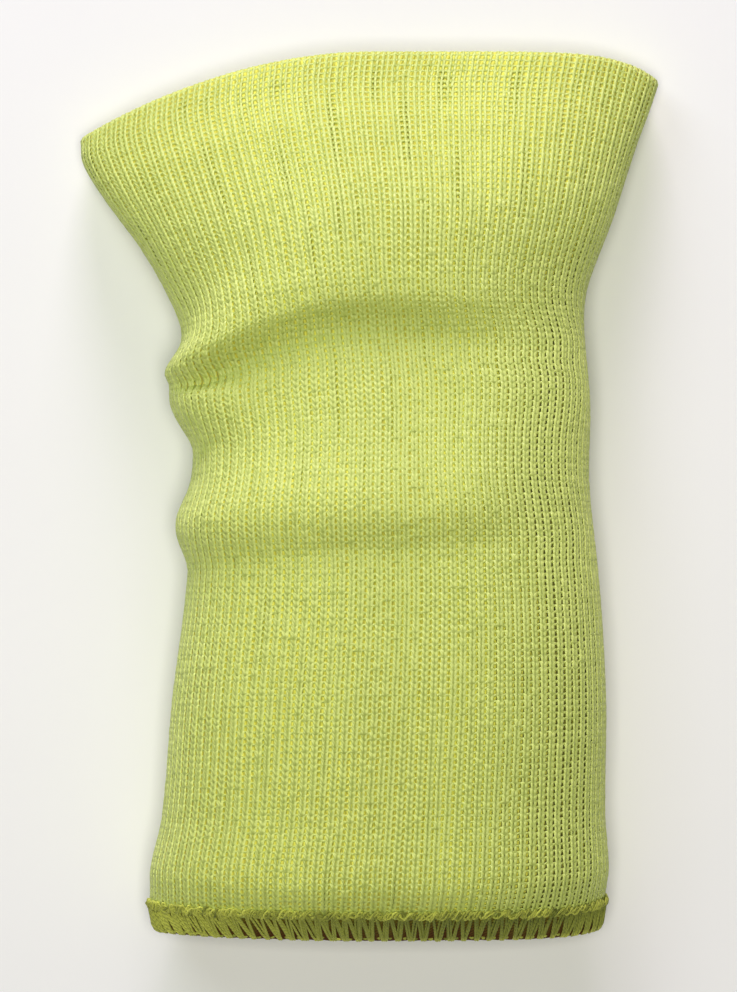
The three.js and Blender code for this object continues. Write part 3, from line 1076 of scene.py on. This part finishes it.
@dataclass
class OverlockHem:
    """The overlocked hem: pressed cut edge, bulky threads over both faces, and chains at seam and cut."""

    cloth: ClothMap
    looper_lay: LooperLay = LooperLay()
    chain_lay: ChainLay = ChainLay()
    purl_lay: PurlLay = PurlLay()
    bar: EdgeBar = EdgeBar()
    stitches: int = 78
    thread_mm: float = 0.5
    uneven: float = 0.1
    seam_mm: float = 7.8
    tip_mm: float = -1.9
    points_per_stitch: int = 12
    thread_sides: int = 5
    seeds_per_thread: int = 10

    def start(self, number: int, **spreads: float) -> tuple[Floats, dict[str, Floats], int]:
        """Start a thread: count its points in stitches, and let them stray.

        Each stray is one small random draw for each stitch, and straight lines join the draws.

        Args:
            number: Number of the thread in the hem, which gives it seeds of its own.
            spreads: Spread of each named stray.

        Returns:
            The points' places in stitches, the strays by name, and the thread's next seed.
        """
        phase = np.arange(self.stitches * self.points_per_stitch) / self.points_per_stitch
        seed = SEED + self.seeds_per_thread * number
        strays = {}
        for name, spread in spreads.items():
            draws = np.random.default_rng(seed).normal(0.0, spread, self.stitches)
            strays[name] = np.interp(phase, np.arange(self.stitches), draws, period=self.stitches)
            seed += 1
        return phase, strays, seed

    def thread(self, path: Sequence[Floats], painted_recess_shade: Floats, girth: float, seed: int) -> MeshData:
        """Lay one closed thread along a path given as turn, millimetres along and depth.

        Args:
            path: Turn, along and depth arrays of the same length.
            painted_recess_shade: How much painted shade each point takes, 0 to 1, most where it lies out of
                sight.
            girth: Share of the thread's full diameter.
            seed: Seed of the thread's tone and thickness.

        Returns:
            The thread as one closed tube.
        """
        points, outward = self.cloth.place(*(p[None, :] for p in path))
        rng = np.random.default_rng(seed)
        tone = np.repeat(rng.uniform(0.0, 1.0, self.stitches), self.points_per_stitch)
        angle = np.arange(self.thread_sides) * (TAU / self.thread_sides) + np.pi / 2.0
        section = np.stack([np.cos(angle), np.sin(angle)], axis=-1)
        radius = self.thread_mm / 2.0 * girth * (1.0 + rng.normal(0.0, self.uneven, (1, len(painted_recess_shade))))
        values = {"painted_recess_shade": painted_recess_shade[None, :], "tone": tone[None, :]}
        return yarn_rings(points, outward, radius, section, values)

    def looper(self, number: int, depth: float, pinch: float, shift: float, inside: bool = False) -> MeshData:
        """Lay a thread that swings between the seam and the cut edge and hooks over the edge at each tip.

        Along goes as cos(2 pi phase); the turn as phase + pinch sin(2 pi phase) / 2 pi, so that pinch closes
        the two legs of a tip. The tops lean to the left edge most, as (1 - cos)^2 of the turn. There much of
        the thread keeps its bright crest colour, as painted light; elsewhere its legs and tops, which lie out
        of sight, are painted in shade, and only the tips keep the crest colour.

        Args:
            number: Number of the thread in the hem.
            depth: Depth of the legs under the cloth's face, negative above it.
            pinch: How far the legs of one tip close up, 0 to 1.
            shift: How far the thread lies to the right, in stitches.
            inside: True for the face inside the sleeve.

        Returns:
            The thread as one closed tube.
        """
        lay = self.looper_lay
        phase, stray, seed = self.start(number, along=0.14, round=0.09, depth=0.06)
        swing = np.cos(TAU * phase)
        middle, reach = (self.seam_mm + self.tip_mm) / 2.0, (self.seam_mm - self.tip_mm) / 2.0
        along = middle + reach * swing + stray["along"] * (1.0 + swing)
        place = phase + pinch * np.sin(TAU * phase) / TAU + shift + stray["round"]
        left = (0.5 - 0.5 * np.cos(TAU * (place / self.stitches - lay.upright_turn))) ** 2
        turn = (place - lay.lean * left * (swing + 1.0) / 2.0) / self.stitches
        hook = smooth_step(-swing, *lay.hook_swing)
        under = depth + stray["depth"] * (1.0 - hook) + (lay.hook_depth - depth) * hook
        under = self.cloth.form.wall - under if inside else under
        # Painted light and shade: the thread keeps its crest colour at the left edge and a little in a bell
        # on the right; elsewhere its legs and tops take the darker colour.
        right = bell(turn, *lay.right_bell)
        painted_light = np.maximum(lay.left_painted_light * left**lay.left_power, lay.right_painted_light * right)
        painted_thread_shade = lay.legs_painted_shade * smooth_step(swing, *lay.legs_swing)
        painted_thread_shade = painted_thread_shade + lay.tops_painted_shade * smooth_step(swing, *lay.tops_swing)
        return self.thread((turn, along, under), painted_thread_shade * (1.0 - painted_light), 1.0, seed)

    def chain(self, number: int, strand: int, girth: float, loose: float) -> MeshData:
        """Lay one of the strands that cross and recross along the seam.

        Along goes as seam + (reach + stray) sin(2 pi (phase + strand / strands)), and depth as a cosine of
        it. The chain is painted in shade, most at the right edge as a bell in the turn, and by a random share
        along it.

        Args:
            number: Number of the thread in the hem.
            strand: Number of the strand, from 0.
            girth: Share of the thread's full diameter.
            loose: How far the strand strays from its path, 1 for a bulky strand.

        Returns:
            The strand as one closed tube.
        """
        lay = self.chain_lay
        spreads = {"reach": 0.28 * loose, "along": 0.26 * loose, "round": 0.16, "depth": 0.14 * loose}
        phase, stray, seed = self.start(number, beat=0.14, **spreads, sunk=0.3)
        beat = TAU * (phase + strand / lay.strands + stray["beat"])
        reach = lay.reach + stray["reach"]
        along = self.seam_mm - lay.below_seam + stray["along"] + reach * np.sin(beat)
        turn = (phase + stray["round"]) / self.stitches
        depth = -lay.lift - lay.swing * np.cos(beat) + stray["depth"]
        # Painted shade: darker most at the right edge, and by a random share along the chain.
        sunk = lay.sunk + lay.right_sunk * bell(turn, *lay.right_bell) + stray["sunk"]
        return self.thread((turn, along, depth), np.clip(sunk, 0.0, 1.0), girth, seed)

    def edge_purl(self, number: int) -> MeshData:
        """Lay the thread that locks the loops along the cut: it shows between the tips on both faces.

        Depth goes as half the wall - (half the wall + proud) cos(2 pi phase), so the thread goes through the
        cloth twice a stitch; along strays a little about a line just above the tips.

        Args:
            number: Number of the thread in the hem.

        Returns:
            The thread as one closed tube.
        """
        lay, half_wall = self.purl_lay, self.cloth.form.wall / 2.0
        phase, stray, seed = self.start(number, beat=0.05, along=0.15, round=0.1, sunk=0.2)
        depth = half_wall - (half_wall + lay.proud) * np.cos(TAU * (phase + stray["beat"]))
        along = self.tip_mm + lay.above_tips + stray["along"]
        turn = (phase + stray["round"]) / self.stitches
        # Painted shade: the thread takes the darker colour by a share that strays a little.
        sunk = np.clip(lay.sunk + stray["sunk"], 0.0, 1.0)
        return self.thread((turn, along, depth), sunk, lay.girth, seed)

    def cut_edge(self) -> MeshData:
        """Build the pressed cut edge: a rounded bar round the hem with fine ribs on it.

        Profile: superellipse of power 5 in along and depth; each column's half thickness swells with a cosine
        of one rib in four columns. Painted shade eases in from the seam to the cut, and is deeper between the
        ribs.

        Returns:
            The closed bar.
        """
        bar, half_wall = self.bar, self.cloth.form.wall / 2.0
        angle = np.linspace(0.0, TAU, bar.points, endpoint=False)[:, None]
        cosine, sine = np.cos(angle), np.sin(angle)
        turns = np.arange(bar.columns) / bar.columns
        rib = bar.rib * np.cos(TAU * turns * bar.columns / bar.columns_a_rib)[None, :]
        reach = (bar.high - bar.low) / 2.0 * np.sign(sine) * np.abs(sine) ** bar.rounding
        depth = half_wall - (half_wall + rib) * np.sign(cosine) * np.abs(cosine) ** bar.rounding
        along = np.broadcast_to((bar.low + bar.high) / 2.0 + reach, depth.shape)
        data = banded_wall(self.cloth, along, depth, turns, np.array([KNIT_WALES, 1.0]))
        # Painted shade: red-brown towards the cut and between the ribs.
        painted_recess_shade = np.clip(smooth_step(-along, *bar.painted_shade_span) - rib * bar.rib_shade, 0.0, 1.0)
        data.values = {"painted_recess_shade": painted_recess_shade, "tone": np.full_like(depth, bar.tone)}
        return data

    def build(self) -> list[Piece]:
        """Build and dress the hem's pieces.

        Returns:
            The pieces, the cut edge first.
        """
        edge = dress(self.cut_edge().write("hem_cut_edge"), CUT_EDGE.make(), SLEEVE_NODE)
        finish, strands = OVERLOCK_THREAD.make(), range(self.chain_lay.strands)
        threads = {
            "outer_looper_1": self.looper(1, depth=-0.40, pinch=0.0, shift=0.0),
            "outer_looper_2": self.looper(2, depth=-0.34, pinch=0.1, shift=0.16),
            "needle_legs_1": self.looper(3, depth=-0.10, pinch=0.7, shift=0.0),
            "needle_legs_2": self.looper(4, depth=-0.04, pinch=0.4, shift=0.1),
            "inner_looper": self.looper(5, depth=-0.36, pinch=0.0, shift=0.0, inside=True),
            **{f"chain_{n + 1}": self.chain(6 + n, strand=n, girth=0.9, loose=1.0) for n in strands},
            "chain_fuzz": self.chain(10, strand=4, girth=0.3, loose=1.8),
            "edge_purl": self.edge_purl(14),
        }
        dressed = [
            dress(data.write(f"overlock_{name}"), finish, EDGING_NODE)
            for name, data in threads.items()
        ]
        return [edge, *dressed]


def dress(piece: Piece, material: bpy.types.Material, node: str) -> Piece:
    """Give a piece its material, hang it on the body and hide the solid that it stands for.

    Args:
        piece: The new piece.
        material: Its finish.
        node: The solid that the piece stands for.

    Returns:
        The same piece.
    """
    piece.data.materials.append(material)
    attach(piece, BODY)
    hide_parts(node)
    return piece


# The studio


@dataclass(frozen=True)
class SoftLight:
    """One square soft box: where it stands, how wide it is, its power and its colour."""

    name: str
    place_m: tuple[float, float, float]
    width_m: float
    watts: float
    colour: str


LIGHTS = (
    SoftLight("lip_soft_box", (0.0, 1.25, 0.358), 0.45, 13.5, "#F8EBFF"),
    SoftLight("left_soft_box", (-0.45, 0.60, 0.50), 0.5, 2.2, "#ECF6F8"),
    SoftLight("overhead_soft_box", (0.0, -0.08, 1.3), 0.5, 10.2, "#FFFEEE"),
)


@dataclass(frozen=True)
class Studio:
    """White floor, soft boxes, pale surround and the camera looking straight down."""

    image_px: tuple[int, int] = (737, 992)
    pixel_mm: float = 0.20134
    camera_above_m: float = 0.9
    framed_height_m: float = 0.014
    camera_y_m: float = -0.0007
    sensor_mm: float = 36.0
    floor_half_m: float = 3.0
    floor_drop_m: float = 0.0004
    surround: str = "#F0FFE4"
    surround_strength: float = 0.04

    def camera(self) -> None:
        """Set the camera: the photo's scale at the height of the sleeve's side edges."""
        data = bpy.data.cameras.new("camera")
        data.sensor_fit = "VERTICAL"
        data.sensor_height = self.sensor_mm
        framed_m = self.image_px[1] * self.pixel_mm * MM
        data.lens = self.sensor_mm * self.camera_above_m / framed_m
        camera = bpy.data.objects.new("camera", data)
        camera.location = (0.0, self.camera_y_m, self.camera_above_m + self.framed_height_m)
        bpy.context.scene.collection.objects.link(camera)
        bpy.context.scene.camera = camera

    def floor(self) -> None:
        """Lay the floor just under the object."""
        half, low = self.floor_half_m / MM, -self.floor_drop_m / MM
        corners = np.array([[-half, -half, low], [half, -half, low], [half, half, low], [-half, half, low]])
        floor = MeshData(corners, np.array([[0, 1, 2, 3]]), {}).write("floor")
        floor.data.materials.append(FloorFinish().make())

    def lights(self) -> None:
        """Hang the soft boxes, each turned to the middle of the floor, and set the surround."""
        for light in LIGHTS:
            data = bpy.data.lights.new(light.name, "AREA")
            data.shape = "SQUARE"
            data.size = light.width_m
            data.energy = light.watts
            data.color = linear_colour(light.colour)[:3]
            lamp = bpy.data.objects.new(light.name, data)
            x, y, z = light.place_m
            lamp.location = light.place_m
            lamp.rotation_euler = (math.atan2(math.hypot(x, y), z), 0.0, math.atan2(x, -y))
            bpy.context.scene.collection.objects.link(lamp)
        world = bpy.data.worlds.new("surround")
        world.use_nodes = True
        shade = world.node_tree.nodes["Background"]
        shade.inputs["Color"].default_value = linear_colour(self.surround)
        shade.inputs["Strength"].default_value = self.surround_strength
        bpy.context.scene.world = world

    def build(self) -> None:
        """Set up camera, floor, lights and plain colour handling."""
        self.camera()
        self.floor()
        self.lights()
        bpy.context.scene.view_settings.view_transform = "Standard"


def main() -> None:
    """Build the studio, the knit and the hem, and report each piece."""
    logging.basicConfig(level=logging.INFO, format="%(name)s: %(message)s")
    Studio().build()
    cloth = ClothMap(SleeveForm())
    LOG.info("cloth: %.1f mm from hem to lip", cloth.outside)
    knit = JerseyKnit(cloth).build()
    hem = OverlockHem(cloth).build()
    total = 0
    for piece in [*knit, *hem]:
        triangles = 2 * len(piece.data.polygons)
        total += triangles
        LOG.info("%s: %d triangles", piece.name, triangles)
    LOG.info("all pieces: %d triangles", total)


if __name__ == "__main__":
    main()
